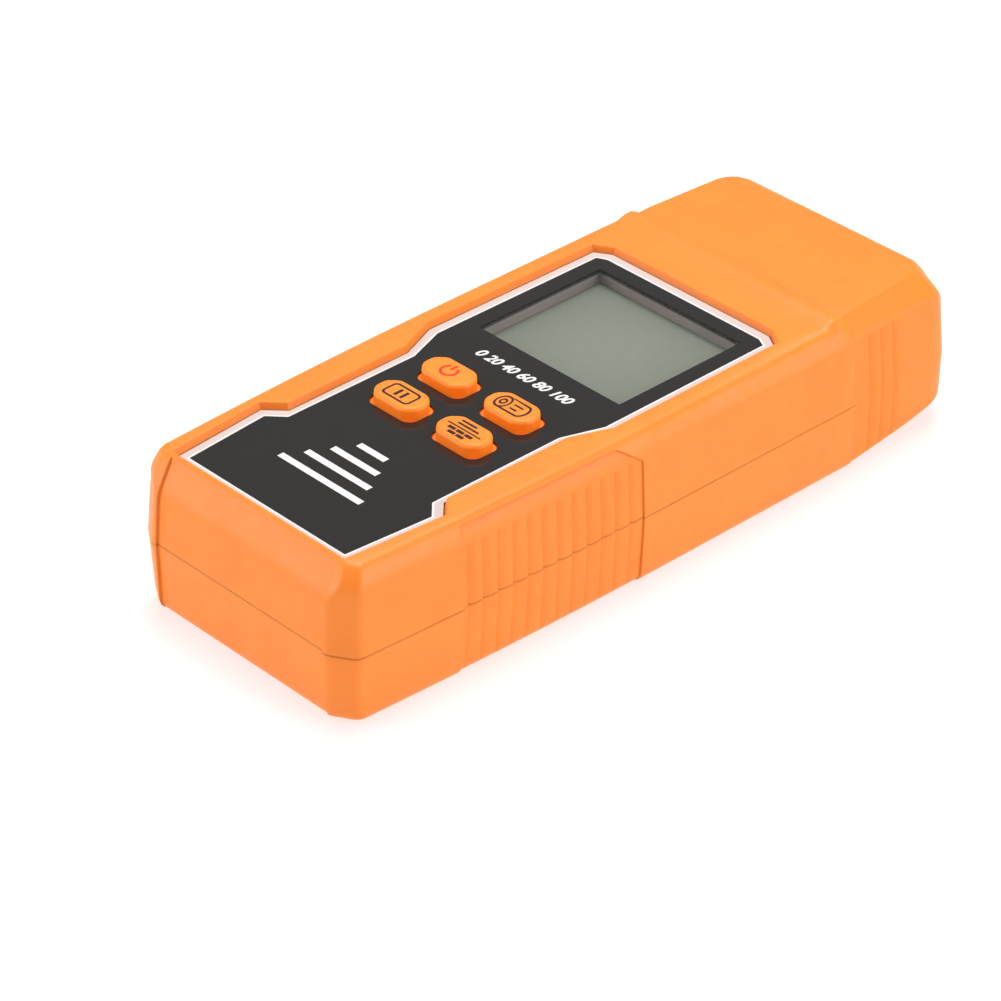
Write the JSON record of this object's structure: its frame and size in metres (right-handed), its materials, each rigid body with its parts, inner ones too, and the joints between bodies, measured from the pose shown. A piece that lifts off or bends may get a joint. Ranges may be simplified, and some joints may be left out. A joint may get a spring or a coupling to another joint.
{
  "type": "pin moisture meter",
  "caption": "Handheld pin-type moisture meter: orange two-part case, display window, rubber keys, and a pull-off cap over steel probe pins.",
  "frame": {"origin": "centre of the footprint, on the back face the meter rests on", "axes": "+Z out of the display face, +Y along the case from the near end to the probe cap, +X to the right of a reader facing the display"},
  "size_m": [0.051, 0.127, 0.023],
  "materials": {
    "case_orange": "satin moulded ABS",
    "cap_orange": "satin moulded ABS",
    "key_rubber": "satin silicone rubber",
    "label_print": "gloss printed overlay",
    "window_clear": "clear acrylic",
    "bezel_dark": "matte moulded ABS",
    "lcd_glass": "bonded glass",
    "polarizer": "satin film",
    "conductive_rubber": "matte rubber",
    "board_laminate": "solder-masked glass fibre",
    "chip_body": "matte epoxy",
    "capacitor_can": "satin sleeve",
    "ceramic": "sintered ceramic",
    "gold_contact": "plated",
    "steel": "zinc plated",
    "needle_steel": "polished",
    "brass": "turned",
    "spring_wire": "nickel plated",
    "cell_jacket": "shrink-wrapped steel can",
    "black_plastic": "matte moulded nylon",
    "lead_red": "PVC insulation",
    "lead_black": "PVC insulation"
  },
  "bodies": {
    "meter": {"battery_cells": "cell_jacket", "battery_leads": "lead_red", "board_screws": "steel", "bridge_contact": "spring_wire", "case_screws": "steel", "chip_capacitors": "ceramic", "chip_resistors": "chip_body", "circuit_board": "board_laminate", "clock_crystal": "steel", "contact_springs": "spring_wire", "controller_chip": "chip_body", "display_bezel": "bezel_dark", "display_window": "window_clear", "face_label": "label_print", "filter_capacitor": "capacitor_can", "front_polarizer": "polarizer", "key_pads": "gold_contact", "keypad_web": "key_rubber", "lcd_cell": "lcd_glass", "lower_shell": "case_orange", "measuring_chip": "chip_body", "negative_contact": "spring_wire", "pin_block": "black_plastic", "pin_nuts": "brass", "pin_sockets": "brass", "positive_contact": "spring_wire", "probe_leads": "lead_black", "probe_pins": "needle_steel", "rear_polarizer": "polarizer", "solder_tags": "brass", "upper_shell": "case_orange", "zebra_strips": "conductive_rubber"},
    "cap": {"protective_cap": "cap_orange"},
    "door": {"battery_door": "case_orange"},
    "power_key_body": {"power_key": "key_rubber", "power_key_pill": "conductive_rubber"},
    "hold_key_body": {"hold_key": "key_rubber", "hold_key_pill": "conductive_rubber"},
    "wood_key_body": {"wood_key": "key_rubber", "wood_key_pill": "conductive_rubber"},
    "wall_key_body": {"wall_key": "key_rubber", "wall_key_pill": "conductive_rubber"}
  },
  "joints": [
    {"name": "cap_pull", "type": "slide", "parent": "meter", "child": "cap", "axis": [0, 1, 0], "range_m": [0, 0.04]},
    {"name": "door_swing", "type": "hinge", "parent": "meter", "child": "door", "pos_m": [0, -0.05785, 0.0001], "axis": [-1, 0, 0], "range_deg": [0, 70]},
    {"name": "power_key_press", "type": "slide", "parent": "meter", "child": "power_key_body", "axis": [0, 0, -1], "range_m": [0, 0.0009]},
    {"name": "hold_key_press", "type": "slide", "parent": "meter", "child": "hold_key_body", "axis": [0, 0, -1], "range_m": [0, 0.0009]},
    {"name": "wood_key_press", "type": "slide", "parent": "meter", "child": "wood_key_body", "axis": [0, 0, -1], "range_m": [0, 0.0009]},
    {"name": "wall_key_press", "type": "slide", "parent": "meter", "child": "wall_key_body", "axis": [0, 0, -1], "range_m": [0, 0.0009]}
  ]
}
